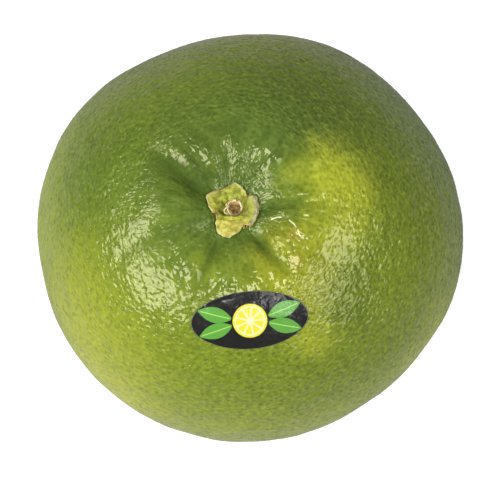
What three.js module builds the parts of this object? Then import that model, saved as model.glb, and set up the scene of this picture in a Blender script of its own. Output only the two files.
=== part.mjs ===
// A green grapefruit that stands on its blossom end, with its stem end up. Millimetres, +Z up.
// The origin is the middle of the small flat spot that it rests on. X runs along its broadest
// width, and -Y is the side that carries the sticker.
//
// The rind is one solid. It is drawn first as a smooth crown and base on either side of the widest
// ring, and then gets the fruit's own irregularities: a lobed outline, a stem that leans off the
// middle, a hollow around the stem, and the furrows that run out of that hollow.
import * as THREE from "three";

// the rind, measured from the widest ring
const halfWidth = 54.8; // mean radius of the widest ring
const crownRise = 49; // up to the top of the crown, if it had no hollow
const baseDrop = 46.8; // down to the tip of the base, if it were not flattened
const restDrop = 46; // down to the flat spot
const fullness = 2.15; // 2 would be an ellipse, and more fills out the shoulders
const stemPlace = [-4.0, -1.5]; // how far along X and Y the stem stands from the middle

// the widest ring's outline: waves around the fruit, as shares of its half width
const outlineWaves = [
  { count: 2, share: 0.021, turn: -10 },
  { count: 3, share: 0.005, turn: -68 },
  { count: 4, share: 0.007, turn: 77 },
  { count: 5, share: 0.0055, turn: 2 },
];

// the hollow around the stem, and the furrows out of it: where each one lies around the stem in
// degrees, how deep and how wide it is, and how far out from the stem it reaches
const hollowDepth = 8;
const hollowWidth = 14;
// where the hollow is narrower: around which turn, over how many degrees and by what share
const hollowPinches = [
  { at: 185, spread: 38, share: 0.42 },
  { at: 100, spread: 42, share: 0.22 },
];
const furrowStart = 4.5;
const furrows = [
  { at: 5, depth: 1.5, width: 1.4, reach: 20 },
  { at: 60, depth: 0.7, width: 2.4, reach: 19 },
  { at: 100, depth: 1.3, width: 2.2, reach: 20 },
  { at: 127, depth: 1.3, width: 1.8, reach: 19 },
  { at: 145, depth: 1.8, width: 2.5, reach: 26 },
  { at: 203, depth: 1.1, width: 4.0, reach: 34 },
  { at: 247, depth: 1.9, width: 2.2, reach: 21 },
  { at: 310, depth: 2.0, width: 1.8, reach: 19 },
  { at: 340, depth: 0.4, width: 2.2, reach: 15 },
];

const rindSegments = 72; // facets around the rind
const crownRings = 20;
const baseRings = 13;
const crownRingCrowding = 1.25; // over 1 crowds the crown's rings towards the stem

// the calyx: the corners of its lobes and the notches between them, from the stem's middle
const calyxCorners = [
  [6.5, 0.2], [6.0, 2.7], [5.3, 3.7], [4.4, 3.8], [3.7, 3.3], [3.3, 4.3], [2.0, 6.0],
  [-0.2, 6.7], [-2.4, 5.4], [-6.3, 4.0], [-6.5, 1.6], [-5.4, -0.8], [-4.3, -1.3],
  [-4.4, -3.2], [-3.7, -5.9], [-1.1, -7.1], [1.7, -5.4], [2.3, -4.3], [3.1, -3.8],
  [4.4, -4.1], [5.8, -2.4],
];
const calyxThickness = 2.0; // around the stub
const calyxEdge = 0.7; // at the tips of its lobes
const calyxSegments = 48;
const calyxRings = 5;
const seatDepth = 0.8; // the dished middle that the stub stands in
const seatRadius = 3.2;

// the stub of the cut stem, a short ring with a sunken middle
const stubRadius = 2.2;
const stubFootRadius = 2.0;
const stubBulgeHeight = 0.8; // where its side stands out the furthest
const stubHeight = 2.3;
const stubRim = 0.6; // width of the ring of bark
const stubRimDrop = 0.3; // how far both edges of that ring lie below its crest
const stubSunk = 1.1; // how far the pith lies below the crest
const stubSegments = 24;
const stubShift = [0.25, 0.25]; // from the stem's axis

// the sticker, a thin oval film bent onto the shoulder
const stickerLength = 29;
const stickerWidth = 14.6;
const stickerThickness = 0.3;
const stickerMiddle = [0.2, -29.5];
const stickerTurn = 4.5; // its long axis, in degrees from X
const stickerSegments = 40;
const stickerRings = 6;

const seatGap = 0.3; // between each piece and the one under it
const stickerGap = 0.2;
const settlePasses = 8; // enough to settle a point on the rind
const slopeStep = 1.5; // how far to either side the rind's slope is taken

const toRadians = THREE.MathUtils.degToRad;

// Half the fruit's width at the widest ring, in the direction `turn` around the middle.
function halfWidthAt(turn) {
  const swell = outlineWaves.map(
    ({ count, share, turn: shift }) => share * Math.cos(count * turn + toRadians(shift)),
  );
  return halfWidth * (1 + swell.reduce((sum, part) => sum + part, 0));
}

// How far the fruit's middle has moved along X and Y at a height on the smooth crown.
function leanAt(smoothHeight) {
  const share = (Math.max(smoothHeight, 0) / crownRise) ** 2;
  return stemPlace.map((offset) => offset * share);
}

// How wide the hollow is in the direction `turn` around the stem.
function hollowWidthAt(turn) {
  return hollowPinches.reduce((width, { at, spread, share }) => {
    const off = turn - toRadians(at);
    const degrees = THREE.MathUtils.radToDeg(Math.atan2(Math.sin(off), Math.cos(off)));
    return width * (1 - share * Math.exp(-((degrees / spread) ** 2)));
  }, hollowWidth);
}

// How far the rind sinks at a distance from the stem's axis: the hollow and its furrows.
function sinkAt(distance, turn) {
  const hollow = hollowDepth * Math.exp(-((distance / hollowWidthAt(turn)) ** 2));
  const grooves = furrows.map(({ at, depth, width, reach }) => {
    const aside = 2 * distance * Math.sin((turn - toRadians(at)) / 2);
    const side = Math.cos((turn - toRadians(at)) / 2) ** 2;
    const inner = THREE.MathUtils.smoothstep(distance, furrowStart, 2.5 * furrowStart);
    const outer = 1 - THREE.MathUtils.smoothstep(distance, 0.5 * reach, 1.3 * reach);
    return depth * side * inner * outer * Math.exp(-((aside / width) ** 2));
  });
  return hollow + grooves.reduce((sum, part) => sum + part, 0);
}

// The place on the rind for a share of the half width and a height on the smooth shape.
function rindPoint(share, smoothHeight, turn) {
  const distance = share * halfWidthAt(turn);
  const sink = smoothHeight > 0 ? sinkAt(distance, turn) : 0;
  const [leanX, leanY] = leanAt(smoothHeight);
  return new THREE.Vector3(
    distance * Math.cos(turn) + leanX,
    distance * Math.sin(turn) + leanY,
    restDrop + smoothHeight - sink,
  );
}

// The crown's height over a point of the plan.
function crownHeightAt(x, y) {
  let [leanX, leanY] = stemPlace;
  let height = crownRise;
  for (let pass = 0; pass < settlePasses; pass++) {
    const turn = Math.atan2(y - leanY, x - leanX);
    const distance = Math.hypot(x - leanX, y - leanY);
    const smooth = crownRise * (1 - (distance / halfWidthAt(turn)) ** fullness) ** (1 / fullness);
    height = restDrop + smooth - sinkAt(distance, turn);
    [leanX, leanY] = leanAt(smooth);
  }
  return height;
}

// The crown's outward direction over a point of the plan.
function crownNormalAt(x, y) {
  return new THREE.Vector3(
    crownHeightAt(x - slopeStep, y) - crownHeightAt(x + slopeStep, y),
    crownHeightAt(x, y - slopeStep) - crownHeightAt(x, y + slopeStep),
    2 * slopeStep,
  ).normalize();
}

// Spins a profile of [radius, height] pairs around Z, and moves each vertex to place(x, y, z).
function spun(profile, segments, place) {
  const points = profile.map(([radius, height]) => new THREE.Vector2(radius, height));
  const geometry = new THREE.LatheGeometry(points, segments).rotateX(Math.PI / 2);
  const positions = geometry.getAttribute("position");
  const vertex = new THREE.Vector3();
  for (let index = 0; index < positions.count; index++) {
    vertex.fromBufferAttribute(positions, index);
    const { x, y, z } = place(vertex.x, vertex.y, vertex.z);
    positions.setXYZ(index, x, y, z);
  }
  geometry.computeVertexNormals();
  return geometry;
}

// A flat disc's profile: out along the underside in rings, and back along the upper side.
// Its height is -1 below and 1 above, and its radius reaches 1.
function discProfile(rings) {
  const out = Array.from({ length: rings + 1 }, (_, ring) => [ring / rings, -1]);
  const back = out.map(([radius]) => [radius, 1]).reverse();
  return [...out, ...back];
}

function piece(name, geometry, color, roughness) {
  const material = new THREE.MeshStandardMaterial({ color, roughness, metalness: 0 });
  const mesh = new THREE.Mesh(geometry, material);
  mesh.name = name;
  return mesh;
}

// The whole fruit as one solid, from the middle of the flat spot up to the stem.
function makeFruit() {
  const power = 2 / fullness;
  const flatAngle = Math.asin((restDrop / baseDrop) ** (1 / power));
  const base = Array.from({ length: baseRings }, (_, ring) => {
    const angle = flatAngle * (1 - ring / baseRings);
    return [Math.cos(angle) ** power, -baseDrop * Math.sin(angle) ** power];
  });
  const crown = Array.from({ length: crownRings }, (_, ring) => {
    const angle = (Math.PI / 2) * (1 - (1 - ring / crownRings) ** crownRingCrowding);
    return [Math.cos(angle) ** power, crownRise * Math.sin(angle) ** power];
  });
  const profile = [[0, -restDrop], ...base, ...crown, [0, crownRise]];
  return spun(profile, rindSegments, (x, y, z) => {
    return rindPoint(Math.hypot(x, y), z, Math.atan2(y, x));
  });
}

// The dried calyx: one ragged plate of joined lobes that lies in the hollow, dished for the stub.
function makeCalyx() {
  const corners = calyxCorners.map(([x, y]) => new THREE.Vector3(x, y, 0));
  const edge = new THREE.CatmullRomCurve3(corners, true, "centripetal");
  return spun(discProfile(calyxRings), calyxSegments, (x, y, side) => {
    const share = Math.hypot(x, y);
    const around = (Math.atan2(y, x) / (2 * Math.PI) + 1) % 1;
    const spot = edge.getPoint(around).multiplyScalar(share);
    const seat = seatDepth * Math.exp(-((spot.length() / seatRadius) ** 2));
    const thickness = THREE.MathUtils.lerp(calyxThickness, calyxEdge, share) - seat;
    const x0 = spot.x + stemPlace[0];
    const y0 = spot.y + stemPlace[1];
    const lift = side > 0 ? thickness : 0;
    return new THREE.Vector3(x0, y0, crownHeightAt(x0, y0) + seatGap + lift);
  });
}

// The stub that is left of the stem, cut across, with its pith sunken below a ring of bark.
function makeStemStub() {
  const [stemX, stemY] = stemPlace;
  const floor = crownHeightAt(stemX, stemY) + seatGap + calyxThickness - seatDepth + seatGap;
  const holeRadius = stubRadius - stubRim;
  const pithRadius = holeRadius - stubRimDrop;
  const profile = [
    [0, 0],
    [stubFootRadius, 0],
    [stubRadius, stubBulgeHeight],
    [stubRadius, stubHeight - stubRimDrop],
    [stubRadius - stubRim / 2, stubHeight],
    [holeRadius, stubHeight - stubRimDrop],
    [pithRadius, stubHeight - stubSunk],
    [0, stubHeight - stubSunk],
  ];
  // the seat rises away from its middle, so the stub's foot is raised to clear it
  const rise = seatDepth * (1 - Math.exp(-((stubRadius / seatRadius) ** 2)));
  return spun(profile, stubSegments, (x, y, z) => {
    return new THREE.Vector3(x + stemX + stubShift[0], y + stemY + stubShift[1], floor + rise + z);
  });
}

// The sticker: a flat oval laid against the shoulder and pressed onto it along its own normal.
function makeSticker() {
  const [middleX, middleY] = stickerMiddle;
  const normal = crownNormalAt(middleX, middleY);
  const turn = toRadians(stickerTurn);
  const along = new THREE.Vector3(Math.cos(turn), Math.sin(turn), 0).projectOnPlane(normal).normalize();
  const across = new THREE.Vector3().crossVectors(normal, along);
  const middle = new THREE.Vector3(middleX, middleY, crownHeightAt(middleX, middleY));
  return spun(discProfile(stickerRings), stickerSegments, (x, y, side) => {
    const spot = middle.clone();
    spot.addScaledVector(along, (x * stickerLength) / 2);
    spot.addScaledVector(across, (y * stickerWidth) / 2);
    for (let pass = 0; pass < settlePasses; pass++) {
      const above = spot.z - crownHeightAt(spot.x, spot.y);
      spot.addScaledVector(normal, -above * normal.z);
    }
    const lift = stickerGap + (side > 0 ? stickerThickness : 0);
    return spot.addScaledVector(crownNormalAt(spot.x, spot.y), lift);
  });
}

const grapefruit = new THREE.Group();
grapefruit.add(
  piece("fruit", makeFruit(), 0x7f9140, 0.35),
  piece("calyx", makeCalyx(), 0xb3b65e, 0.8),
  piece("stem_stub", makeStemStub(), 0x9a8450, 0.85),
  piece("sticker", makeSticker(), 0x242625, 0.3),
);

export default grapefruit;
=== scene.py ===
import math
import random
import bmesh
import bpy
from mathutils import Matrix, Vector, kdtree, noise


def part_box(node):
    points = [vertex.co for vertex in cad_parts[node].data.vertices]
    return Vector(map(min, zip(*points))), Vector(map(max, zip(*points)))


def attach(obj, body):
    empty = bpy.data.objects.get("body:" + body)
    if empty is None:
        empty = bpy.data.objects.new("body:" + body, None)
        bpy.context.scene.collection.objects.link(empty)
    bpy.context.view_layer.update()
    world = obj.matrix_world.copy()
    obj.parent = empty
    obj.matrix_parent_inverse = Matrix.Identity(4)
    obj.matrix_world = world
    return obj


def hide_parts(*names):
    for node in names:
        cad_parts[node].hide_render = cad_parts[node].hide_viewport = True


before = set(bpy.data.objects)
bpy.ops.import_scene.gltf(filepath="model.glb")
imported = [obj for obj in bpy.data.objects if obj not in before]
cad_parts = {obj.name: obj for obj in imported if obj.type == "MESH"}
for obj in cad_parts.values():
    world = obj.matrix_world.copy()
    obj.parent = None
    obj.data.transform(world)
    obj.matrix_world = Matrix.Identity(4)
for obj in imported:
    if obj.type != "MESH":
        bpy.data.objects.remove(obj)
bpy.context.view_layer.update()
mm = 0.001
dice = random.Random(7)  # one seeded stream, so every run grows the same fruit

fruitLow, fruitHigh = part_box("fruit")
stubLow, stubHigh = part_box("stem_stub")
fruitTall = fruitHigh.z - fruitLow.z
print("frame loaded, fruit", round(fruitTall / mm, 1), "mm tall")


def smooth(value, low, high):
    # 0 below low, 1 above high, eased between them
    part = min(max((value - low) / (high - low), 0.0), 1.0)
    return part * part * (3 - 2 * part)


def mixed(a, b, part):
    return a + (b - a) * part


def rough3d(point, size, seed=0.0):
    # soft noise from -1 to 1, with bumps about as wide as size
    return noise.noise(point / size + Vector((seed, 1.7 * seed, -seed)))


def rough(point, rows):
    # several soft noises together, each with its size, depth and seed
    return sum(depth * rough3d(point, size, seed) for size, depth, seed in rows)


def paint(red, green, blue):
    # a colour given from 0 to 255, as in a paint box, as the linear one that shaders take
    def linear(value):
        value = value / 255
        return value / 12.92 if value <= 0.04045 else ((value + 0.055) / 1.055) ** 2.4
    return (linear(red), linear(green), linear(blue), 1.0)


def paintsOf(piece):
    # a piece's named colours, ready for its shader
    return {name: paint(*colour) for name, colour in piece["paints"].items()}


def spinProfile(profile, steps):
    # turns [radius, height] pairs round Z into a closed skin
    bm = bmesh.new()
    points = [bm.verts.new((radius, 0, height)) for radius, height in profile]
    edges = [bm.edges.new(pair) for pair in zip(points, points[1:])]
    bmesh.ops.spin(
        bm, geom=points + edges, cent=(0, 0, 0), axis=(0, 0, 1),
        angle=math.tau, steps=steps, use_merge=True,
    )
    bmesh.ops.remove_doubles(bm, verts=bm.verts, dist=1e-6)
    bmesh.ops.recalc_face_normals(bm, faces=bm.faces)
    return bm


def addObject(name, data):
    made = bpy.data.objects.new(name, data)
    bpy.context.scene.collection.objects.link(made)
    return made


def addMesh(name, bm, material):
    mesh = bpy.data.meshes.new(name)
    bm.to_mesh(mesh)
    bm.free()
    mesh.materials.append(material)
    return addObject(name, mesh)


def addPiece(name, bm, material, node):
    # a finished mesh as a smooth piece that rides on the fruit and stands for its CAD node
    piece = addMesh(name, bm, material)
    faces = piece.data.polygons
    faces.foreach_set("use_smooth", [True] * len(faces))
    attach(piece, "root")
    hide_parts(node)
    print(name, len(faces), "faces")


class Flow:
    # wraps one socket of a node tree, so that shader maths reads as plain sums
    def __init__(self, tree, socket=None):
        self.tree = tree
        self.socket = socket

    def node(self, kind, settings=None, inputs=None, output=0):
        made = self.tree.nodes.new(kind)
        for name, value in (settings or {}).items():
            setattr(made, name, value)
        for key, value in (inputs or {}).items():
            if isinstance(value, Flow):
                self.tree.links.new(value.socket, made.inputs[key])
            else:
                made.inputs[key].default_value = value
        return Flow(self.tree, made.outputs[output]) if made.outputs else made

    def maths(self, operation, *others):
        values = dict(enumerate((self, *others)))
        return self.node("ShaderNodeMath", {"operation": operation}, values)

    def __add__(self, other):
        return self.maths("ADD", other)

    def __sub__(self, other):
        return self.maths("SUBTRACT", other)

    def __rsub__(self, other):
        return self.node("ShaderNodeMath", {"operation": "SUBTRACT"}, {0: other, 1: self})

    def __mul__(self, other):
        return self.maths("MULTIPLY", other)

    def ramp(self, low, high, bottom=0.0, top=1.0, kind="SMOOTHSTEP"):
        # eases from bottom at low to top at high, and low may be the greater one
        if low > high:
            low, high, bottom, top = high, low, top, bottom
        values = {"Value": self, "From Min": low, "From Max": high, "To Min": bottom, "To Max": top}
        return self.node("ShaderNodeMapRange", {"interpolation_type": kind}, values)

    def blend(self, under, over):
        # self is the share of over that covers under
        settings = {"data_type": "RGBA"}
        return self.node("ShaderNodeMix", settings, {0: self, 6: under, 7: over}, 2)

    def tint(self, colour, shade):
        # self is the share to which shade is laid over colour as a glaze
        settings = {"data_type": "RGBA", "blend_type": "MULTIPLY"}
        return self.node("ShaderNodeMix", settings, {0: self, 6: colour, 7: shade}, 2)

    def vector(self, operation, *others):
        values = dict(enumerate((self, *others)))
        output = 1 if operation in ("LENGTH", "DISTANCE", "DOT_PRODUCT") else 0
        return self.node("ShaderNodeVectorMath", {"operation": operation}, values, output)

    def split(self):
        # the x, y and z of a vector, each as a Flow
        made = self.node("ShaderNodeSeparateXYZ", None, {"Vector": self}).socket.node
        return [Flow(self.tree, output) for output in made.outputs]

    def attribute(self, name, output="Fac"):
        return self.node("ShaderNodeAttribute", {"attribute_name": name}, output=output)

    def noise(self, place, size, detail=2.0, roughness=0.5):
        values = {"Vector": place, "Scale": 1 / size, "Detail": detail, "Roughness": roughness}
        return self.node("ShaderNodeTexNoise", None, values)

    def swirl(self, place, size, by):
        # shifts that push places about by up to half of by each way, in swirls as wide as size
        values = {"Vector": place, "Scale": 1 / size}
        turned = self.node("ShaderNodeTexNoise", None, values, 1)
        return turned.vector("MULTIPLY_ADD", [by] * 3, [-by / 2] * 3)

    def bump(self, height, distance):
        return self.node("ShaderNodeBump", None, {"Height": height, "Distance": distance})


def startMaterial(name):
    material = bpy.data.materials.new(name)
    material.use_nodes = True
    material.node_tree.nodes.clear()
    flow = Flow(material.node_tree)
    place = flow.node("ShaderNodeTexCoord", output="Object")
    return material, flow, place


def finishMaterial(flow, inputs):
    shader = flow.node("ShaderNodeBsdfPrincipled", None, inputs)
    flow.node("ShaderNodeOutputMaterial", None, {"Surface": shader})


# the smooth fruit, the same shape as its solid in the frame
shape = {
    "widestAt": 0.4938,  # the widest ring's height, as a share of the fruit's
    "crownShare": 0.526,  # the crown above that ring, if it had no hollow
    "baseShare": 0.5024,  # the base below it, if it were not flattened
    "fullness": 2.15,
    "stem": (-4.0 * mm, -1.5 * mm),  # where the stem stands in plan
    "outlineWaves": [(2, 0.021, -10), (3, 0.005, -68), (4, 0.007, 77), (5, 0.0055, 2)],
    "hollowDepth": 8 * mm,
    "hollowWidth": 14 * mm,
    # where the hollow is narrower: degrees around the stem, over how many, and by what share
    "hollowPinches": [(185, 38, 0.42), (100, 42, 0.22)],
    "furrowStart": 4.5 * mm,
    # where each furrow lies around the stem in degrees, its depth, width and reach
    "furrows": [
        (5, 1.5 * mm, 1.4 * mm, 20 * mm),
        (60, 0.7 * mm, 2.4 * mm, 19 * mm),
        (100, 1.3 * mm, 2.2 * mm, 20 * mm),
        (127, 1.3 * mm, 1.8 * mm, 19 * mm),
        (145, 1.8 * mm, 2.5 * mm, 26 * mm),
        (203, 1.1 * mm, 4.0 * mm, 34 * mm),
        (247, 1.9 * mm, 2.2 * mm, 21 * mm),
        (310, 2.0 * mm, 1.8 * mm, 19 * mm),
        (340, 0.4 * mm, 2.2 * mm, 15 * mm),
    ],
}
fullness = shape["fullness"]
stemX, stemY = shape["stem"]
restDrop = shape["widestAt"] * fruitTall
fruitMiddle = Vector((0, 0, fruitLow.z + restDrop))
crownRise = shape["crownShare"] * fruitTall
baseDrop = shape["baseShare"] * fruitTall


def outlineSwell(turn):
    return 1 + sum(
        share * math.cos(count * turn + math.radians(shift))
        for count, share, shift in shape["outlineWaves"]
    )


spans = [outlineSwell(math.radians(step)) * math.cos(math.radians(step)) for step in range(360)]
halfWidth = (fruitHigh.x - fruitLow.x) / (max(spans) - min(spans))
print("half width", round(halfWidth / mm, 2), "mm")


def furrowSink(distance, turn):
    # how far the furrows that run out of the hollow sink the rind
    start = shape["furrowStart"]
    inner = smooth(distance, start, 2.5 * start)
    if inner == 0 or distance > 45 * mm:
        return 0
    sink = 0
    for at, depth, width, reach in shape["furrows"]:
        half = (turn - math.radians(at)) / 2
        aside = 2 * distance * math.sin(half)
        outer = 1 - smooth(distance, 0.5 * reach, 1.3 * reach)
        side = math.cos(half) ** 2
        sink += depth * side * inner * outer * math.exp(-((aside / width) ** 2))
    return sink


def sinkAt(distance, turn):
    # how far the rind sinks around the stem
    width = shape["hollowWidth"]
    for at, spread, share in shape["hollowPinches"]:
        aside = turn - math.radians(at)
        aside = math.degrees(math.atan2(math.sin(aside), math.cos(aside)))
        width *= 1 - share * math.exp(-((aside / spread) ** 2))
    hollow = shape["hollowDepth"] * math.exp(-((distance / width) ** 2))
    return hollow + furrowSink(distance, turn)


def rindPoint(direction):
    # the place on the smooth rind that lies in a direction from the fruit's middle
    turn = math.atan2(direction.y, direction.x)
    across = math.hypot(direction.x, direction.y)
    wide = halfWidth * outlineSwell(turn)
    tall = crownRise if direction.z > 0 else baseDrop
    far = ((across / wide) ** fullness + (abs(direction.z) / tall) ** fullness) ** (-1 / fullness)
    distance = far * across
    height = far * direction.z
    lean = (max(height, 0) / crownRise) ** 2
    sink = sinkAt(distance, turn) if height > 0 else 0
    return Vector((
        distance * math.cos(turn) + lean * stemX,
        distance * math.sin(turn) + lean * stemY,
        fruitLow.z + restDrop + max(height, -restDrop) - sink,
    ))


def crownAt(x, y):
    # the height of the smooth crown over a point of the plan
    lean, height = 1.0, crownRise
    for settle in range(8):
        turn = math.atan2(y - lean * stemY, x - lean * stemX)
        distance = math.hypot(x - lean * stemX, y - lean * stemY)
        part = min(distance / (halfWidth * outlineSwell(turn)), 1)
        smoothHeight = crownRise * (1 - part ** fullness) ** (1 / fullness)
        height = fruitLow.z + restDrop + smoothHeight - sinkAt(distance, turn)
        lean = (smoothHeight / crownRise) ** 2
    return height


def crownNormal(x, y, step=1.5 * mm):
    return Vector((
        (crownAt(x - step, y) - crownAt(x + step, y)) / (2 * step),
        (crownAt(x, y - step) - crownAt(x, y + step)) / (2 * step),
        1,
    )).normalized()


def onCrown(x, y):
    # a point of the smooth crown, from its place in plan in mm
    return Vector((x * mm, y * mm, crownAt(x * mm, y * mm)))


def onSkin(x, y):
    # the same on the uneven skin
    place = onCrown(x, y)
    return place + crownNormal(place.x, place.y) * skinSwell(place)


rind = {
    "glandLevels": 6,  # icosphere levels: one oil gland at each corner
    "crowding": 0.12,  # draws the glands closer together towards the stem
    "glandJitter": 0.55 * mm,
    "glandDepth": 0.2 * mm,
    "glandRing": 0.42,  # how deep a gland's pit is around its middle, as a share
    "pitReach": (0.15 * mm, 0.6 * mm),  # where a pit's wall starts and ends, from its middle
    "stretch": 1.8,  # how much longer than wide the finer cells lie around the stem
    # those cells: how far apart, how their dark middles and their pits give way to walls, as
    # shares of that, and how curled they are
    "net": {
        "spacing": 0.85 * mm,
        "wall": (0.15, 0.6),
        "pit": (0.12, 0.38),
        "curl": (0.8 * mm, 0.8 * mm),
    },
    "reliefUnit": 0.06 * mm,  # how high 1 is in the relief
    # the relief's lumps, from fine to broad, and its creases: size and height
    "relief": {
        "grain": (0.5 * mm, 0.4),
        "lumps": (0.75 * mm, 4),
        "waves": (2 * mm, 7),
        "creases": (0.8 * mm, 3),
        "farCreases": (0.4 * mm, 3),
    },
    # places worn smooth and places with a dull bloom, in plan in mm, and their reach
    "smoothPlaces": [(21.3, -11, 6.5 * mm), (-23.8, -19.2, 8 * mm), (9, 8, 10 * mm)],
    "dullPlaces": [(-15.5, 0, 10 * mm), (9.5, 6.5, 6 * mm)],
    "creaseEnd": (19 * mm, 27 * mm),  # how far from the stem its creases give way to cells
    "creaseRing": 12 * mm,  # the ring on which the creases are laid out
    "creaseRun": 0.3,  # how soon they change on their way out: less makes them longer
    # places past the hollow whose creases still run out from the stem
    "creasedPlaces": [(-26, 1, 13 * mm)],
    "smallGlands": 0.16,  # the share of the gaps between glands that hold a small one
    "fineReach": 12.6 * mm,  # the skin this near the stem is cut once more
    # the skin's unevenness, from broad to fine: size, depth and seed
    "swells": [
        (13 * mm, 0.28 * mm, 13),
        (5 * mm, 0.1 * mm, 5),
        (2.4 * mm, 0.045 * mm, 2.4),
        (1.1 * mm, 0.02 * mm, 1.1),
    ],
    # folds that run out from the stem: how many, how deep, how soon they wander, where they lie
    "pleats": [
        {"count": 4, "depth": 0.42 * mm, "run": 9 * mm, "start": 6 * mm, "end": 31 * mm},
        {"count": 10, "depth": 0.15 * mm, "run": 6 * mm, "start": 8 * mm, "end": 32 * mm},
        {"count": 16, "depth": 0.06 * mm, "run": 8 * mm, "start": 8 * mm, "end": 28 * mm},
    ],
    "waver": 0.2,  # how far those folds stray from straight, in radians
    "crinkle": {"place": (0.5, 7.5), "reach": 6 * mm, "depth": 0.06 * mm},  # place in plan in mm
    "patchFray": (3 * mm, 4 * mm),  # how wide and how far the patches' edges swirl, finely
    "patchDrift": (16 * mm, 8 * mm),  # and broadly
    # broad patches of colour, each over the ones above it: its turn around the fruit and tilt
    # from the top in degrees, its reach, how much of that is a soft edge, how much it covers
    "patches": [
        (0, 180, 60 * mm, 0.8, 1, (174, 179, 60)),
        (89, 95, 41 * mm, 0.9, 1, (182, 182, 59)),
        (169, 103, 49 * mm, 0.9, 1, (179, 195, 54)),
        (-145, 74, 41 * mm, 0.9, 1, (168, 176, 49)),
        (-100, 96, 42 * mm, 0.9, 1, (165, 177, 42)),
        (-31, 95, 30 * mm, 0.9, 1, (185, 195, 57)),
        (33, 70, 47 * mm, 0.9, 1, (106, 124, 44)),
        (57, 23, 35 * mm, 0.8, 1, (82, 98, 45)),
        (115, 11, 44 * mm, 0.9, 1, (100, 122, 50)),
        (10, 29, 18 * mm, 0.8, 1, (176, 182, 55)),
        (160, 42, 27 * mm, 0.9, 0.9, (98, 119, 41)),
        (-42, 40, 16 * mm, 0.9, 0.8, (97, 115, 37)),
        (-12, 26, 14 * mm, 0.8, 1, (154, 161, 49)),
        (-40, 20, 13 * mm, 0.8, 0.8, (148, 150, 46)),
        (-53, 27, 17 * mm, 0.8, 1, (148, 154, 43)),
        (-61, 45, 10 * mm, 0.8, 1, (154, 163, 49)),
        (-65, 97, 34 * mm, 0.9, 1, (170, 182, 48)),
        (-131, 89, 27 * mm, 0.9, 1, (199, 203, 60)),
        # a darker green along the furrow right of the stem: partly its own colour, partly painted shade
        # of that furrow
        (2, 17, 9 * mm, 0.9, 0.8, (108, 126, 46)),
        # a paler spot below and left of the stem: partly the skin's own paler green, partly a painted
        # highlight
        (-110, 18, 8 * mm, 0.9, 0.45, (156, 170, 56)),
        (135, 19, 21 * mm, 0.9, 1, (92, 110, 43)),
    ],
    # healed scratches beside the stem, as corners in plan, in mm
    "scratches": [
        [(5.2, -4.1), (6.6, -3.7), (8.6, -3.5)],
        [(9.9, -4.5), (11.2, -5.7), (12.0, -7.0), (12.8, -9.2)],
    ],
    "scratchWidth": 0.5 * mm,
    "rust": [(11.8, -14.9), (11.4, -8.2)],  # rusty specks, in plan, in mm
    # rubbed marks on the sides: corners as turns and tilts from the top, in degrees, and width
    "rubs": [
        {"corners": [(62, 84), (67, 87), (71, 86)], "width": 2.2 * mm},
        {"corners": [(150, 101), (153, 106)], "width": 3.0 * mm},
        {"corners": [(222, 112), (228, 115), (231, 120)], "width": 1.8 * mm},
        {"corners": [(318, 108), (322, 111)], "width": 2.6 * mm},
    ],
    "blossomEnd": {"radius": 2.6 * mm, "dent": 0.9 * mm},
    "paints": {
        "green": (121, 137, 43),
        "grain": (180, 198, 68),
        # darker green of the furrows: partly their own colour, partly painted shade
        "furrow": (68, 88, 38),
        "scratch": (228, 230, 176),
        "rust": (206, 146, 80),
        "rub": (176, 158, 92),
        "scarEdge": (120, 124, 58),
        "scar": (146, 112, 64),
        "scarMiddle": (78, 56, 32),
    },
    "dotReach": (0.1 * mm, 0.95 * mm),  # how a gland's dark dot fades, from its middle
    "hollowShadeReach": (5 * mm, 13 * mm),  # and the painted shade in the hollow, from the stem
    "sizes": {"mottle": 5 * mm, "grain": 0.6 * mm, "creaseShade": 1.6 * mm, "fray": 1.6 * mm},
    # glazes that darken the colour under them, the crease and hollow ones as painted shade: red, green,
    # blue, and how much they cover at most
    "glazes": {
        "mottle": (0.66, 0.74, 0.5, 0.3),
        "cell": (0.6, 0.64, 0.45, 0.65),
        "grain": (0.66, 0.68, 0.5, 0.36),
        "dot": (0.55, 0.57, 0.4, 1),
        # painted shade along the creases that run out from the stem
        "creaseShade": (0.6, 0.68, 0.6, 0.6),
        # painted shade in the hollow round the calyx, bluish
        "hollow": (0.68, 0.76, 0.85, 0.4),
    },
    "gloss": (0.07, 0.12),  # its roughness, from place to place
    "sheen": (1, 0.93, 0.62, 1),  # the waxy rind's highlights are a little yellow
}


def skinSwell(at):
    # how far the skin stands out from the smooth shape, before its glands are pressed in
    aside = Vector((at.x - stemX, at.y - stemY, 0))
    far = aside.length
    calm = mixed(0.4, 1, smooth(far, 5 * mm, 12 * mm)) if at.z > fruitMiddle.z else 1
    swell = rough(at, rind["swells"]) * calm
    if at.z < fruitLow.z + restDrop or far == 0:
        return swell
    aside.rotate(Matrix.Rotation(rind["waver"] * rough3d(at, 5 * mm, 17), 3, "Z"))
    for pleat in rind["pleats"]:
        fade = smooth(far, pleat["start"], 1.9 * pleat["start"])
        fade *= 1 - smooth(far, 0.5 * pleat["end"], pleat["end"])
        if fade > 0:
            spoke = aside / far * pleat["count"]
            spoke.z = far / pleat["run"]
            swell += fade * pleat["depth"] * noise.noise(spoke)
    crinkle = rind["crinkle"]
    near = (at - onCrown(*crinkle["place"])).length
    if near < crinkle["reach"]:
        loops = math.sin(12 * rough3d(at, 2.4 * mm, 31))
        swell += crinkle["depth"] * smooth(near, crinkle["reach"], 0.3 * crinkle["reach"]) * loops
    return swell


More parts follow.
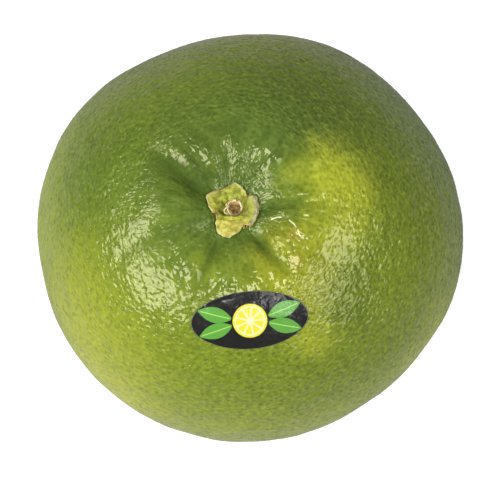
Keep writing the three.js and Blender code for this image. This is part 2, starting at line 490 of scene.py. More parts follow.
def addGlands(bm, gland):
    # one gland at each corner of the ball, a softer ring around it, and small ones in between
    count = len(bm.verts)
    middles = list(range(count))
    bmesh.ops.subdivide_edges(bm, edges=bm.edges, cuts=2, use_grid_fill=True)
    bm.verts.ensure_lookup_table()
    for vertex in bm.verts[:count]:
        vertex[gland] = dice.uniform(0.5, 1.0)
        for edge in vertex.link_edges:
            around = rind["glandRing"] * dice.uniform(0.75, 1.25)
            edge.other_vert(vertex)[gland] = vertex[gland] * around
    for index, vertex in enumerate(bm.verts):
        if vertex[gland] == 0 and dice.random() < rind["smallGlands"]:
            vertex[gland] = dice.uniform(0.3, 0.6)
            middles.append(index)
    return middles


def markGlands(bm, middles, gland):
    # tells each face where its nearest gland is and how big, for the skin's dots and pits
    middle = bm.faces.layers.float_vector.new("glandMiddle")
    size = bm.faces.layers.float.new("glandSize")
    bm.verts.ensure_lookup_table()
    tree = kdtree.KDTree(len(middles))
    for index in middles:
        tree.insert(bm.verts[index].co, index)
    tree.balance()
    for face in bm.faces:
        place, index, away = tree.find(face.calc_center_median())
        face[middle] = place
        face[size] = bm.verts[index][gland]


def makeRindMesh():
    bm = bmesh.new()
    bmesh.ops.create_icosphere(bm, subdivisions=rind["glandLevels"], radius=1)
    for vertex in bm.verts:
        nudge = Vector([dice.uniform(-1, 1) for axis in "xyz"]) * rind["glandJitter"] / restDrop
        vertex.co = (vertex.co + nudge + Vector((0, 0, rind["crowding"]))).normalized()
    gland = bm.verts.layers.float.new("gland")
    furrow = bm.verts.layers.float.new("furrow")
    middles = addGlands(bm, gland)
    nearStem = math.cos(rind["fineReach"] / restDrop)
    fine = [edge for edge in bm.edges if min(v.co.normalized().z for v in edge.verts) > nearStem]
    bmesh.ops.subdivide_edges(bm, edges=fine, cuts=1, use_grid_fill=True)
    bmesh.ops.triangulate(bm, faces=[face for face in bm.faces if len(face.verts) > 3])
    for vertex in bm.verts:
        vertex.co = rindPoint(vertex.co.normalized())
    bmesh.ops.recalc_face_normals(bm, faces=bm.faces)
    bm.normal_update()
    calm = [(onCrown(x, y), reach) for x, y, reach in rind["smoothPlaces"]]
    end = rind["blossomEnd"]
    places = []
    for vertex in bm.verts:
        flat = smooth(vertex.co.z - fruitLow.z, 0.1 * mm, 2.5 * mm)
        worn = smooth(rough3d(vertex.co, 9 * mm, 21), -0.35, 0.25)  # in places they are shallow
        if vertex.co.z > fruitMiddle.z:
            aside = vertex.co.xy - Vector((stemX, stemY))
            worn *= smooth(aside.length, 4 * mm, 14 * mm)
            for middle, reach in calm:
                worn *= smooth((vertex.co - middle).length, 0.2 * reach, reach)
            vertex[furrow] = furrowSink(aside.length, math.atan2(aside.y, aside.x)) / mm
        pit = rind["glandDepth"] * vertex[gland] * mixed(0.55, 1, worn)
        places.append(vertex.co + vertex.normal * (skinSwell(vertex.co) * flat - pit))
    for vertex, place in zip(bm.verts, places):
        vertex.co = place
        vertex.co.z = max(place.z, fruitLow.z)
        if place.z < fruitMiddle.z:
            away = vertex.co.xy.length / end["radius"]
            ring = 0.25 * math.exp(-(((away - 1.25) / 0.3) ** 2))  # a low lip around the dent
            vertex.co.z += end["dent"] * max(math.exp(-(away ** 4)) - ring, 0)
    markGlands(bm, middles, gland)
    return bm


def alongRind(turn, tilt):
    # the place on the smooth rind at a turn around the fruit and a tilt from its top, in degrees
    turn, tilt = math.radians(turn), math.radians(tilt)
    level = math.sin(tilt)
    return rindPoint(Vector((math.cos(turn) * level, math.sin(turn) * level, math.cos(tilt))))


def nearLine(place, start, end, width):
    # 1 on the line between two points, easing to 0 at half its width from it
    span = end - start
    ahead = place.vector("SUBTRACT", start)
    along = ahead.vector("DOT_PRODUCT", span / span.length_squared).ramp(0, 1, kind="LINEAR")
    foot = along.node("ShaderNodeVectorMath", {"operation": "SCALE"}, {0: span, "Scale": along})
    return ahead.vector("DISTANCE", foot).ramp(0.1 * width, 0.5 * width, 1, 0)


def glaze(share, colour, name):
    # lays one of the rind's glazes over a colour, as thick as share says
    *shade, most = rind["glazes"][name]
    return (share * most).tint(colour, (*shade, 1))


def lumps(flow, where, name, detail=0.5, roughness=0.5):
    size, height = rind["relief"][name]
    return flow.noise(where, size, detail, roughness) * height


def addMarks(flow, place, colour, fine, tones):
    # lays the scratches, rusty specks, rubbed marks and the blossom end's scar over the colour,
    # with edges that fine noise frays
    for corners in rind["scratches"]:
        for start, end in zip(corners, corners[1:]):
            line = nearLine(place, onSkin(*start), onSkin(*end), rind["scratchWidth"])
            colour = (line * fine.ramp(0.44, 0.52)).blend(colour, tones["scratch"])
    for x, y in rind["rust"]:
        away = place.vector("DISTANCE", onSkin(x, y)) * (1 / mm)
        speck = flow.noise(place, 0.7 * mm, 2.0, 0.6).ramp(0.5, 0.62) * away.ramp(1.0, 3.0, 1, 0)
        colour = (speck * 0.45).blend(colour, tones["rust"])
    for rub in rind["rubs"]:
        corners = [alongRind(turn, tilt) for turn, tilt in rub["corners"]]
        for start, end in zip(corners, corners[1:]):
            line = nearLine(place, start, end, rub["width"])
            colour = (line * fine.ramp(0.4, 0.58) * 0.8).blend(colour, tones["rub"])
    end = rind["blossomEnd"]["radius"]
    away = place.vector("DISTANCE", (0, 0, fruitLow.z)) + (fine - 0.5) * 1.6 * mm
    colour = (away.ramp(1.9 * end, 1.0 * end) * 0.6).blend(colour, tones["scarEdge"])
    colour = away.ramp(1.15 * end, 0.85 * end).blend(colour, tones["scar"])
    colour = away.ramp(0.5 * end, 0.25 * end).blend(colour, tones["scarMiddle"])
    return colour


def makeRindMaterial():
    material, flow, place = startMaterial("rindSkin")
    tones = paintsOf(rind)
    warped = place.vector("ADD", flow.swirl(place, *rind["patchFray"]))
    warped = warped.vector("ADD", flow.swirl(place, *rind["patchDrift"]))
    colour = tones["green"]
    for turn, tilt, reach, soft, cover, patchColour in rind["patches"]:
        away = warped.vector("DISTANCE", alongRind(turn, tilt))
        share = away.ramp(reach * (1 - soft), reach, cover, 0)
        colour = share.blend(colour, paint(*patchColour))
    sizes = rind["sizes"]
    mottle = flow.noise(place, sizes["mottle"], 3.0, 0.6).ramp(0.35, 0.7)
    colour = glaze(mottle, colour, "mottle")
    fromGland = place.vector("DISTANCE", flow.attribute("glandMiddle", "Vector"))
    size = flow.attribute("glandSize")
    dots = fromGland.ramp(*rind["dotReach"], 1, 0) * size
    # coordinates in which the skin's cells are as long as they are wide
    stretch = rind["stretch"]
    shrink, shift = (1 / stretch, 1 / stretch, 0), (-stemX / stretch, -stemY / stretch, 0)
    aside = place.vector("MULTIPLY_ADD", shrink, shift)
    fromStem = place.vector("DISTANCE", (stemX, stemY, stubLow.z))
    run = flow.node("ShaderNodeCombineXYZ", None, {"Z": fromStem * math.sqrt(1 - stretch ** -2)})
    rolled = aside.vector("ADD", run)
    # and those in which the creases near the stem run straight out from it
    run = flow.node("ShaderNodeCombineXYZ", None, {"Z": fromStem * rind["creaseRun"]})
    spoked = aside.vector("NORMALIZE").vector("MULTIPLY_ADD", [rind["creaseRing"]] * 3, run)
    creased = fromStem.ramp(*rind["creaseEnd"], 1, 0)
    net = rind["net"]
    curled = rolled.vector("ADD", flow.swirl(rolled, *net["curl"]))
    cells = flow.node("ShaderNodeTexVoronoi", None, {"Vector": curled, "Scale": 1 / net["spacing"]})
    ridges = cells.ramp(*net["wall"])
    plain = creased.ramp(0, 1, 1, 0.3)
    colour = glaze((1 - ridges) * plain, colour, "cell")
    grain = flow.noise(rolled, sizes["grain"], 2.0, 0.6)
    # the grain's dark glaze lies thicker towards the lower right: partly the skin's own grain, partly
    # painted shade of its relief on that side
    grainShadeSide = place.vector("DOT_PRODUCT", (0.7, -0.7, 0)).ramp(-30 * mm, 15 * mm, 0.3, 1) * plain
    colour = glaze(grain.ramp(0.62, 0.38) * grainShadeSide, colour, "grain")
    colour = (grain.ramp(0.5, 0.7) * plain * 0.18).blend(colour, tones["grain"])
    dotShare = warped.split()[0].ramp(-22 * mm, 12 * mm, 0.25, 0.62)
    colour = glaze(dots * dotShare, colour, "dot")
    fine = flow.noise(place, sizes["fray"], 3.0, 0.6)
    furrow = flow.attribute("furrow").ramp(0.2, 2.2)
    # dark streaks that run out from the stem: painted shade of its creases
    creaseShade = flow.noise(spoked, sizes["creaseShade"], 1.0, 0.6).ramp(0.58, 0.42) * creased
    colour = glaze(creaseShade, colour, "creaseShade")
    # painted shade in the hollow round the calyx, darkest near the stem
    colour = glaze(fromStem.ramp(*rind["hollowShadeReach"], 1, 0), colour, "hollow")
    # the furrows' darker green, deeper where they sink more: partly their own colour, partly painted
    # shade
    colour = (furrow * 0.7).blend(colour, tones["furrow"])
    colour = addMarks(flow, place, colour, fine, tones)
    combed = creased
    runs = lumps(flow, spoked, "creases", 1.0, 0.6) * creased
    for x, y, reach in rind["creasedPlaces"]:
        farther = place.vector("DISTANCE", onCrown(x, y)).ramp(0.5 * reach, reach, 0.8, 0)
        combed = combed.maths("MAXIMUM", farther)
        runs = runs + lumps(flow, spoked, "farCreases", 1.0, 0.6) * farther
    pits = fromGland.ramp(*rind["pitReach"], 1, 0) * size
    relief = lumps(flow, rolled, "grain", 3.0, 0.6) + cells.ramp(*net["pit"]) - pits * 0.4
    relief = relief + lumps(flow, rolled, "lumps") + lumps(flow, rolled, "waves")
    relief = relief * combed.ramp(0, 1, 1, 0.12)  # a little is left under the creases
    for x, y, reach in rind["smoothPlaces"]:
        relief = relief * place.vector("DISTANCE", onCrown(x, y)).ramp(0.4 * reach, reach, 0.5, 1)
    relief = relief + runs
    # dull in the furrows, where it has a bloom, and a little where it turns away
    dull = furrow.ramp(0.05, 0.5) * 0.9
    for x, y, reach in rind["dullPlaces"]:
        bloom = place.vector("DISTANCE", onCrown(x, y)).ramp(0.5 * reach, reach, 0.9, 0)
        dull = dull.maths("MAXIMUM", bloom)
    facing = flow.node("ShaderNodeLayerWeight", None, {"Blend": 0.5}, 1)
    dull = dull.maths("MAXIMUM", facing.ramp(0.45, 0.9) * 0.35)
    normal = flow.bump(relief, rind["reliefUnit"])
    gloss = mottle.ramp(0, 1, *rind["gloss"])
    glossy = flow.node("ShaderNodeBsdfPrincipled", None, {
        "Base Color": colour, "Roughness": gloss, "Specular IOR Level": 0.5,
        "Specular Tint": rind["sheen"], "Normal": normal,
    })
    matt = flow.node("ShaderNodeBsdfPrincipled", None, {
        "Base Color": colour, "Roughness": 0.9, "Specular IOR Level": 0.0, "Normal": normal,
    })
    skin = flow.node("ShaderNodeMixShader", None, {0: dull, 1: glossy, 2: matt})
    flow.node("ShaderNodeOutputMaterial", None, {"Surface": skin})
    return material


addPiece("rind", makeRindMesh(), makeRindMaterial(), "fruit")


calyx = {
    # the corners of its ragged lobes and of the notches between them, in mm from the stem
    "corners": [
        (6.5, 0.2), (6.0, 2.7), (5.3, 3.7), (4.4, 3.8), (3.7, 3.3), (3.3, 4.3), (2.0, 6.0),
        (-0.2, 6.7), (-2.4, 5.4), (-6.3, 4.0), (-6.5, 1.6), (-5.4, -0.8), (-4.3, -1.3),
        (-4.4, -3.2), (-3.7, -5.9), (-1.1, -7.1), (1.7, -5.4), (2.3, -4.3), (3.1, -3.8),
        (4.4, -4.1), (5.8, -2.4),
    ],
    "steps": 240,
    "rings": 34,
    "thickMiddle": 1.7 * mm,
    "thickEdge": 0.7 * mm,
    "thinnest": 0.25 * mm,
    # the roughness of its outline, its underside and its top: sizes, depths and seeds
    "ragged": [(1.1 * mm, 0.3 * mm, 4), (0.4 * mm, 0.12 * mm, 9)],
    "underside": [(1.5 * mm, 0.1 * mm, 2)],
    "lumps": [(1.3 * mm, 0.32 * mm, 6)],
    "grain": [(0.55 * mm, 0.1 * mm, 8)],
    "lift": 0.4 * mm,  # how far the tips of the lobes stand off the skin
    "seatDepth": 0.7 * mm,
    "seatRadius": 2.6 * mm,
    # creases and ridges across the lobes: their corners in mm, width and height
    "folds": [
        {"line": [(-2.9, -1.6), (-0.4, -1.75), (2.2, -1.55)], "width": 0.26, "height": 0.45},
        {"line": [(-3.6, -2.1), (-0.5, -2.3), (1.9, -2.1)], "width": 0.26, "height": -0.6},
        {"line": [(-3.2, -0.1), (-2.0, -1.0)], "width": 0.5, "height": -0.6},
        {"line": [(2.4, 0.6), (2.9, 2.2), (3.6, 3.5)], "width": 0.28, "height": -0.55},
        {"line": [(2.7, 2.8), (2.0, 4.4), (-0.8, 5.2), (-2.8, 4.6)], "width": 0.3, "height": -0.3},
        {"line": [(-1.4, 1.6), (-1.1, 3.4), (-1.9, 4.6)], "width": 0.35, "height": -0.3},
        {"line": [(-2.6, 1.0), (-4.6, 1.6)], "width": 0.5, "height": 0.25},
        {"line": [(-2.6, 2.4), (-4.8, 3.0)], "width": 0.4, "height": -0.25},
        {"line": [(0.4, 2.2), (0.8, 4.0)], "width": 0.4, "height": 0.25},
        {"line": [(-0.2, -3.0), (-0.4, -4.6)], "width": 0.3, "height": -0.25},
        {"line": [(3.4, 0.4), (3.8, -1.8), (3.0, -3.0)], "width": 0.4, "height": -0.3},
    ],
    "curl": {
        "line": [(4.7, 3.1), (5.4, 2.1), (5.75, 0.6), (5.7, -0.9), (5.1, -2.4), (4.2, -3.6)],
        "width": 0.6,
        "height": 0.6,
    },
    "tears": [(3.3, -4.1), (4.0, 3.6), (-4.5, -1.3)],  # where the lobes are torn, in mm
    "dent": (-2.5, -0.6),  # and where the stub's shadow is painted on them, in a dip beside the stem
    # torn fibres that stand out of the notches: corners in mm, with height over the skin
    "fibres": [
        [(3.5, -3.0, 0.7), (3.5, -3.8, 0.9), (3.3, -4.5, 0.5)],
        [(4.1, -3.2, 0.8), (4.5, -3.9, 1.0), (4.1, -4.4, 0.7)],
        [(2.9, -3.3, 0.6), (2.7, -4.0, 0.7), (2.7, -4.7, 0.4)],
        [(4.6, 3.0, 0.9), (4.2, 3.4, 1.2), (3.7, 3.5, 1.0)],
        [(-3.9, -1.0, 0.9), (-4.4, -0.9, 1.1), (-5.0, -0.8, 0.9)],
    ],
    "fibreThick": 0.13 * mm,
    "paints": {
        "olive": (118, 122, 36),
        "lime": (178, 182, 66),
        "lowerOlive": (160, 154, 60),
        "lowerLime": (200, 195, 90),
        "rightLobe": (172, 176, 78),
        "leftLobe": (190, 180, 88),
        "dryRim": (134, 112, 60),
        "paleRim": (206, 196, 132),
        "boneDark": (138, 131, 90),
        "bonePale": (178, 174, 136),
        "tearDark": (132, 70, 30),
        "tearPale": (206, 150, 96),
        # painted shadow of the stub on the calyx
        "dent": (74, 78, 20),
    },
}


def lobeEdge(around):
    # the outline as a smooth curve through its corners, for a share of the way round
    corners = calyx["corners"]
    step = around * len(corners)
    part = step % 1
    a, b, c, d = (Vector(corners[(int(step) + k) % len(corners)]) * mm for k in (-1, 0, 1, 2))
    bend = (2 * a - 5 * b + 4 * c - d) * part ** 2 + (3 * b - a - 3 * c + d) * part ** 3
    return b + ((c - a) * part + bend) / 2


def lineDistance(spot, line):
    # how far a spot in plan lies from a line of corners in mm
    best = math.inf
    for start, end in zip(line, line[1:]):
        start, end = Vector(start) * mm, Vector(end) * mm
        span = end - start
        along = min(max((spot - start).dot(span) / span.length_squared, 0), 1)
        best = min(best, (spot - start - span * along).length)
    return best


def foldHeight(spot, fold):
    away = lineDistance(spot, fold["line"]) / (fold["width"] * mm)
    return fold["height"] * mm * math.exp(-(away ** 2))


def discProfile(rings):
    # a flat disc in rings that crowd towards its edge: out below at -1, and back above at 1
    shares = [math.sin(math.pi / 2 * ring / rings) for ring in range(rings)]
    return [(share, -1) for share in shares] + [(1, 0)] + [(share, 1) for share in reversed(shares)]


def addStrand(bm, points, thick):
    # a round strand through given points, as its own closed skin
    curve = bpy.data.curves.new("strand", "CURVE")
    curve.dimensions = "3D"
    curve.bevel_depth = thick
    curve.bevel_resolution = 3
    curve.use_fill_caps = True
    spline = curve.splines.new("NURBS")
    spline.points.add(len(points) - 1)
    spline.order_u = min(4, len(points))
    spline.use_endpoint_u = True
    spline.resolution_u = 8
    for place, point in zip(points, spline.points):
        point.co = (*place, 1)
        point.radius = dice.uniform(0.7, 1.2)
    holder = bpy.data.objects.new("strand", curve)
    bm.from_mesh(holder.to_mesh())
    holder.to_mesh_clear()
    bpy.data.objects.remove(holder)
    bpy.data.curves.remove(curve)


def makeCalyxMesh():
    bm = spinProfile(discProfile(calyx["rings"]), calyx["steps"])
    rim = bm.verts.layers.float.new("rim")
    curl = bm.verts.layers.float.new("curl")
    for vertex in bm.verts:
        share = min(math.hypot(vertex.co.x, vertex.co.y), 1)
        turn = math.atan2(vertex.co.y, vertex.co.x)
        edge = lobeEdge((turn / math.tau) % 1)
        edge += edge.normalized() * rough(edge.to_3d(), calyx["ragged"])
        spot = edge * share
        flat = spot.to_3d()
        x, y = stemX + spot.x, stemY + spot.y
        lift = calyx["lift"] * smooth(share, 0.45, 1) * (1 + rough3d(flat, 2.5 * mm, 12))
        under = crownAt(x, y) + lift + rough(flat, calyx["underside"])
        seat = calyx["seatDepth"] * math.exp(-((spot.length / calyx["seatRadius"]) ** 2))
        thick = mixed(calyx["thickMiddle"], calyx["thickEdge"], share) - seat
        thick += sum(foldHeight(spot, fold) for fold in calyx["folds"])
        lip = foldHeight(spot, calyx["curl"]) * (1 + 0.6 * rough3d(flat, 0.9 * mm, 14))
        thick += lip + rough(flat, calyx["lumps"]) * smooth(share, 0.2, 0.5)
        thick += rough(flat, calyx["grain"])
        roundEdge = math.sqrt(1 - smooth(share, 0.92, 1) ** 2)
        top = (vertex.co.z + 1) / 2
        thick = max(thick, calyx["thinnest"])
        vertex.co = (x, y, under + thick * mixed(0.5, top, roundEdge))
        vertex[rim] = share
        vertex[curl] = lip / (calyx["curl"]["height"] * mm)
    bmesh.ops.recalc_face_normals(bm, faces=bm.faces)
    for fibre in calyx["fibres"]:
        points = [onCrown(stemX / mm + x, stemY / mm + y) + Vector((0, 0, z * mm)) for x, y, z in fibre]
        addStrand(bm, points, calyx["fibreThick"])
    return bm


def makeCalyxMaterial():
    material, flow, place = startMaterial("driedCalyx")
    tones = paintsOf(calyx)
    local = place.vector("MULTIPLY_ADD", [1 / mm] * 3, (-stemX / mm, -stemY / mm, 0))
    x, y, z = local.split()
    fibre = flow.noise(local, 1.0, 3.0, 0.6)
    blotch = flow.noise(local, 2.2, 2.0, 0.5)
    rim = flow.attribute("rim")
    curl = flow.attribute("curl")
    soft = (fibre * 0.55 + blotch * 0.45).ramp(0.38, 0.6)
    colour = soft.blend(tones["olive"], tones["lime"])
    lower = (y + blotch * 0.8).ramp(-1.4, -2.0)
    colour = lower.blend(colour, soft.blend(tones["lowerOlive"], tones["lowerLime"]))
    rightSide = (x + blotch).ramp(3.0, 4.4)
    colour = (rightSide * 0.6).blend(colour, tones["rightLobe"])
    leftSide = (x + blotch * 2).ramp(-2.6, -5.0)
    colour = (leftSide * 0.5).blend(colour, tones["leftLobe"])
    worn = (rim + fibre * 0.16).ramp(0.96, 1.06)
    dry = blotch.ramp(0.35, 0.6).blend(tones["dryRim"], tones["paleRim"])
    colour = (worn * 0.85).blend(colour, dry)
    bone = fibre.ramp(0.35, 0.6).blend(tones["boneDark"], tones["bonePale"])
    colour = (curl + fibre * 0.5).ramp(0.7, 1.1).blend(colour, bone)
    plan = local.vector("MULTIPLY", (1, 1, 0))
    tear = blotch.ramp(0.4, 0.55).blend(tones["tearDark"], tones["tearPale"])
    for corner in calyx["tears"]:
        torn = (plan.vector("DISTANCE", (*corner, 0)) + fibre * 1.4).ramp(1.5, 0.9)
        colour = (torn * 0.75).blend(colour, tear)
    # painted shadow of the stub, dark olive, in the dip at its lower left
    dent = (plan.vector("DISTANCE", (*calyx["dent"], 0)) + fibre * 0.8).ramp(1.7, 0.6)
    colour = (dent * 0.8).blend(colour, tones["dent"])
    finishMaterial(flow, {
        "Base Color": colour, "Roughness": fibre.ramp(0, 1, 0.5, 0.75), "Specular IOR Level": 0.35,
        "Normal": flow.bump(flow.noise(local, 0.5, 3.0, 0.5), 0.1 * mm),
    })
    return material


addPiece("driedCalyx", makeCalyxMesh(), makeCalyxMaterial(), "calyx")


stub = {
    "steps": 96,
    "middle": (0.38 * mm, 0.15 * mm),  # from the stem's middle
    "sunk": 0.35 * mm,  # how far its foot reaches below its solid's, towards the calyx
    "ragged": [(0.5 * mm, 0.12 * mm, 3), (1.3 * mm, 0.2 * mm, 5)],  # its rim, as in the calyx
    # the torn ring of bark, as shares of its radius and height: from the foot to the pith
    "profile": [
        (0, 0), (0.7, 0), (0.94, 0.06), (0.99, 0.3), (1, 0.6), (0.99, 0.8), (0.96, 0.93),
        (0.9, 1), (0.83, 0.98), (0.77, 0.9), (0.73, 0.78), (0.7, 0.66), (0.64, 0.58),
        (0.5, 0.54), (0.36, 0.52), (0.18, 0.5), (0, 0.5),
    ],
    "radius": 2.05 * mm,
    "barkThickest": 70,  # where its ring is broadest and highest, in degrees
    # strands of torn bark beside it: points around the stub's middle in mm, and thickness
    "strands": [
        {"points": [(-1.15, 0.95), (-1.3, 0.2), (-1.15, -0.6), (-0.75, -1.3)], "thick": 0.16 * mm},
        {"points": [(-1.5, 0.5), (-2.6, -0.3), (-2.75, -0.9), (-2.2, -1.5), (-1.3, -1.75)],
         "thick": 0.2 * mm},
        {"points": [(-1.6, 1.3), (-2.3, 0.75), (-2.4, 0.3), (-1.7, 0.35)], "thick": 0.15 * mm},
        {"points": [(-1.0, 1.3), (-1.35, 0.8), (-1.75, 0.6)], "thick": 0.14 * mm},
    ],
    "paints": {
        "barkDark": (126, 94, 44),
        "barkPale": (238, 222, 170),
        "pithDark": (80, 56, 16),
        "pithGold": (154, 124, 52),
        "farWall": (176, 142, 84),
        "foot": (96, 88, 30),
        "bareSide": (88, 60, 28),
    },
}
stubAxis = Vector((stemX + stub["middle"][0], stemY + stub["middle"][1], stubLow.z - stub["sunk"]))


def makeStubMesh():
    tall = stubHigh.z - stubAxis.z
    bm = spinProfile(stub["profile"], stub["steps"])
    for vertex in bm.verts:
        turn = math.atan2(vertex.co.y, vertex.co.x)
        share = math.hypot(vertex.co.x, vertex.co.y)
        thick = 0.5 + 0.5 * math.cos(turn - math.radians(stub["barkThickest"]))
        crest = smooth(share, 0.6, 0.8) * smooth(vertex.co.z, 0.4, 0.8)
        inward = 1 - (0.14 * thick - 0.04) * smooth(share, 0.96, 0.7) * smooth(share, 0.2, 0.6)
        radius = stub["radius"] * inward * (1 + 0.03 * math.cos(2 * (turn - math.radians(80))))
        spot = vertex.co * radius
        spot.z = vertex.co.z * (1 - 0.16 * crest * (1 - thick)) * tall
        spot.z += min(rough(spot, stub["ragged"]), 0) * smooth(vertex.co.z, 0.3, 0.6)
        spot.xy *= 1 + 0.06 * rough3d(spot, 0.9 * mm, 7)
        vertex.co = spot
    for strand in stub["strands"]:
        last = len(strand["points"]) - 1
        sag = [0.76 - 0.2 * math.sin(math.pi * index / last) for index in range(last + 1)]
        points = [(x * mm, y * mm, part * tall) for (x, y), part in zip(strand["points"], sag)]
        addStrand(bm, points, strand["thick"])
    bmesh.ops.recalc_face_normals(bm, faces=bm.faces)
    bmesh.ops.translate(bm, verts=bm.verts, vec=stubAxis)
    return bm


def makeStubMaterial():
    material, flow, place = startMaterial("cutStem")
    tones = paintsOf(stub)
    local = place.vector("MULTIPLY_ADD", [1 / mm] * 3, -stubAxis / mm)
    x, y, height = local.split()
    flat = local.vector("MULTIPLY", (1, 1, 0))
    away = flat.vector("LENGTH")
    fibre = flow.noise(local, 0.45, 4.0, 0.65)
    broad = flow.noise(local, 1.1, 2.0, 0.5)
    bark = fibre.ramp(0.36, 0.58).blend(tones["barkDark"], tones["barkPale"])
    grain = (fibre * 0.6 + broad * 0.4).ramp(0.4, 0.6)
    pith = grain.blend(tones["pithDark"], tones["pithGold"])
    pith = (y + broad).ramp(0.9, 1.8).blend(pith, tones["farWall"])  # its far wall
    colour = (away + fibre * 0.4).ramp(1.5, 1.72).blend(pith, bark)
    colour = (height + fibre * 0.5).ramp(1.7, 0.9).blend(colour, tones["foot"])
    dark = (y * 0.9 - x * 0.3 + broad * 1.6).ramp(0.1, -0.9) * away.ramp(2.6, 2.3)
    colour = (dark * 0.8).blend(colour, tones["bareSide"])  # the side where the bark is gone
    finishMaterial(flow, {
        "Base Color": colour, "Roughness": fibre.ramp(0, 1, 0.5, 0.75), "Specular IOR Level": 0.35,
        "Normal": flow.bump(fibre, 0.15 * mm),
    })
    return material


addPiece("cutStem", makeStubMesh(), makeStubMaterial(), "stem_stub")


sticker = {
    "length": 29 * mm,
    "width": 14.6 * mm,
    "middle": (0.2 * mm, -29.5 * mm),
    "turn": 4.5,  # its long axis, in degrees from X
    "thickness": 0.12 * mm,
    "gap": 0.05 * mm,  # between it and the skin, at least
    "ripple": 0.05 * mm,
    "rimLift": 0.06 * mm,
    "steps": 160,
    "rings": 36,
    "wheelRadius": 4.3,  # the citrus wheel in its middle, in mm
    "segments": 9,
    # the leaves on either side of the wheel, in mm and degrees
    "leaf": {"start": 4.3, "rise": 0.8, "length": 8.8, "width": 3.9, "tilt": 17},
    "paints": {
        "film": (28, 28, 27),
        "leaf": (90, 152, 60),
        "vein": (150, 200, 90),
        "zest": (218, 204, 56),
        "pith": (236, 230, 178),
        "rim": (92, 94, 84),
    },
}


def makeStickerMesh():
    bm = spinProfile(discProfile(sticker["rings"]), sticker["steps"])
    printed = bm.loops.layers.uv.new("print")
    for face in bm.faces:
        for loop in face.loops:
            loop[printed].uv = ((loop.vert.co.x + 1) / 2, (loop.vert.co.y + 1) / 2)
    x, y = sticker["middle"]
    normal = crownNormal(x, y)
    turn = math.radians(sticker["turn"])
    along = Vector((math.cos(turn), math.sin(turn), 0))
    along = (along - normal * along.dot(normal)).normalized()
    across = normal.cross(along)
    middle = Vector((x, y, crownAt(x, y)))
    for vertex in bm.verts:
        share = min(math.hypot(vertex.co.x, vertex.co.y), 1)
        spot = middle + along * vertex.co.x * sticker["length"] / 2
        spot += across * vertex.co.y * sticker["width"] / 2
        for settle in range(6):
            spot -= normal * (spot.z - crownAt(spot.x, spot.y)) * normal.z
        lift = sticker["gap"] + sticker["thickness"] * (vertex.co.z + 1) / 2
        lift += sticker["ripple"] * (1 + rough3d(spot, 3 * mm, 11))
        lift += sticker["rimLift"] * smooth(share, 0.88, 1) * (1 + rough3d(spot, 5 * mm, 13))
        vertex.co = spot + crownNormal(spot.x, spot.y) * (lift + skinSwell(spot))
    bmesh.ops.recalc_face_normals(bm, faces=bm.faces)
    return bm


def makeStickerMaterial():
    material, flow, place = startMaterial("stickerFilm")
    tones = paintsOf(sticker)
    uv = flow.node("ShaderNodeUVMap", {"uv_map": "print"})
    size = (sticker["length"] / mm, sticker["width"] / mm, 0)
    spot = uv.vector("MULTIPLY_ADD", size, (-size[0] / 2, -size[1] / 2, 0))
    share = uv.vector("MULTIPLY_ADD", (2, 2, 0), (-1, -1, 0)).vector("LENGTH")
    x, y, z = spot.split()
    colour = tones["film"]
    leaf = sticker["leaf"]
    lean = math.radians(leaf["tilt"])
    for side in (1, -1):
        for up in (1, -1):
            far = x * side - leaf["start"]
            tall = y * up - leaf["rise"]
            part = (far * math.cos(lean) + tall * math.sin(lean)) * (1 / leaf["length"])
            off = (tall * math.cos(lean) - far * math.sin(lean)).maths("ABSOLUTE")
            bulge = (part * (1 - part)).maths("MAXIMUM", 0) * 4
            inside = bulge * (leaf["width"] / 2) - off
            colour = (inside.ramp(-0.06, 0.06) * bulge.ramp(0, 0.1)).blend(colour, tones["leaf"])
            vein = off.ramp(0.08, 0.2, 1, 0) * bulge.ramp(0.2, 0.4)
            colour = vein.blend(colour, tones["vein"])
    out = spot.vector("LENGTH")
    wheel = sticker["wheelRadius"]
    colour = out.ramp(wheel + 0.45, wheel + 0.35).blend(colour, tones["film"])
    colour = out.ramp(wheel + 0.06, wheel - 0.06).blend(colour, tones["zest"])
    colour = out.ramp(wheel - 0.5, wheel - 0.6).blend(colour, tones["pith"])
    count = sticker["segments"]
    wedge = (y.maths("ARCTAN2", x) * (count / math.tau)).maths("PINGPONG", 0.5)
    wedge = wedge * (math.tau / count) * out
    pulp = wedge.ramp(0.14, 0.24) * out.ramp(wheel - 0.82, wheel - 0.92) * out.ramp(0.5, 0.75)
    colour = pulp.blend(colour, tones["zest"])
    colour = share.ramp(0.985, 0.993).blend(colour, tones["rim"])
    crumple = flow.noise(place, 2.4 * mm, 2.0, 0.5)
    finishMaterial(flow, {
        "Base Color": colour, "Roughness": crumple.ramp(0.3, 0.7, 0.16, 0.26),
        "Normal": flow.bump(crumple, 0.2 * mm),
    })
    return material


addPiece("stickerFilm", makeStickerMesh(), makeStickerMaterial(), "sticker")


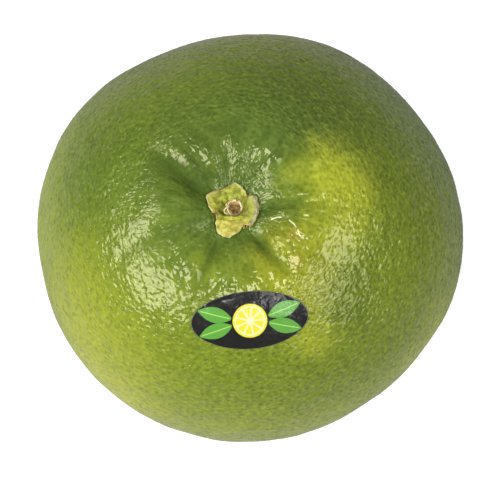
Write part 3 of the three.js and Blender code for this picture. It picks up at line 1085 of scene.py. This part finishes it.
studio = {
    "floorPale": 0.45,  # how pale the floor's paint is, under the lamps
    "floorGlow": 0.75,  # and how much paler it looks to the camera
    "floorSize": 3,
    "floorGap": 0.05 * mm,
    "camera": {"elevation": 79, "distance": 0.75, "lens": 204.5, "aim": (0.2 * mm, -1.0 * mm, 0)},
    "boxes": [
        # name, direction from the fruit, distance, width, height, radiance
        ("leftBox", (-0.61, -0.34, 0.72), 1.0, 0.54, 0.46, 9.3),
        ("rightBox", (0.58, -0.19, 0.79), 1.0, 0.4, 0.4, 6.1),
        ("rightLow", (0.64, -0.56, 0.5), 1.0, 0.3, 0.3, 4.4),
        ("leftHigh", (-0.69, 0.06, 0.72), 1.0, 0.17, 0.17, 10),
        ("highBox", (-0.52, 0.26, 0.81), 1.0, 0.16, 0.14, 8.0),
        ("frontBox", (0.29, -0.48, 0.83), 1.1, 0.16, 0.2, 9.0),
        ("topBox", (-0.08, -0.08, 1.0), 1.1, 0.3, 0.26, 11),
    ],
    "worldLight": 0.2,
}


def makeFloor():
    material, flow, place = startMaterial("floorPaint")
    seen = flow.node("ShaderNodeLightPath", output="Is Camera Ray")
    glow = seen.blend((0, 0, 0, 1), (*[studio["floorGlow"]] * 3, 1))
    finishMaterial(flow, {
        "Base Color": (*[studio["floorPale"]] * 3, 1), "Roughness": 0.9,
        "Emission Color": glow, "Emission Strength": 1.0,
    })
    bm = bmesh.new()
    bmesh.ops.create_grid(bm, x_segments=1, y_segments=1, size=studio["floorSize"])
    bmesh.ops.translate(bm, verts=bm.verts, vec=(0, 0, fruitLow.z - studio["floorGap"]))
    addMesh("floor", bm, material)


def makeBox(name, direction, distance, width, height, radiance):
    light = bpy.data.lights.new(name, "AREA")
    light.shape = "RECTANGLE"
    light.size = width
    light.size_y = height
    light.energy = radiance * math.pi * width * height
    lamp = addObject(name, light)
    away = Vector(direction).normalized()
    lamp.location = fruitMiddle + away * distance
    lamp.rotation_euler = away.to_track_quat("Z", "Y").to_euler()
    lamp.visible_camera = False


def makeWorld():
    world = bpy.data.worlds.new("paleRoom")
    bpy.context.scene.world = world
    world.use_nodes = True
    world.node_tree.nodes.clear()
    flow = Flow(world.node_tree)
    camera = flow.node("ShaderNodeLightPath", output="Is Camera Ray")
    strength = camera.ramp(0, 1, studio["worldLight"], 1.0)
    back = flow.node("ShaderNodeBackground", None, {"Color": (1, 1, 1, 1), "Strength": strength})
    flow.node("ShaderNodeOutputWorld", None, {"Surface": back})


def makeCamera():
    data = bpy.data.cameras.new("camera")
    data.lens = studio["camera"]["lens"]
    data.sensor_width = 36
    data.clip_start = 0.01
    data.clip_end = 100
    camera = addObject("camera", data)
    rise = math.radians(studio["camera"]["elevation"])
    back = Vector((0, -math.cos(rise), math.sin(rise)))
    aim = fruitMiddle + Vector(studio["camera"]["aim"])
    camera.location = aim + back * studio["camera"]["distance"]
    camera.rotation_euler = back.to_track_quat("Z", "Y").to_euler()
    bpy.context.scene.camera = camera


makeFloor()
for box in studio["boxes"]:
    makeBox(*box)
makeWorld()
makeCamera()
bpy.context.scene.view_settings.view_transform = "Standard"
print("stage set")
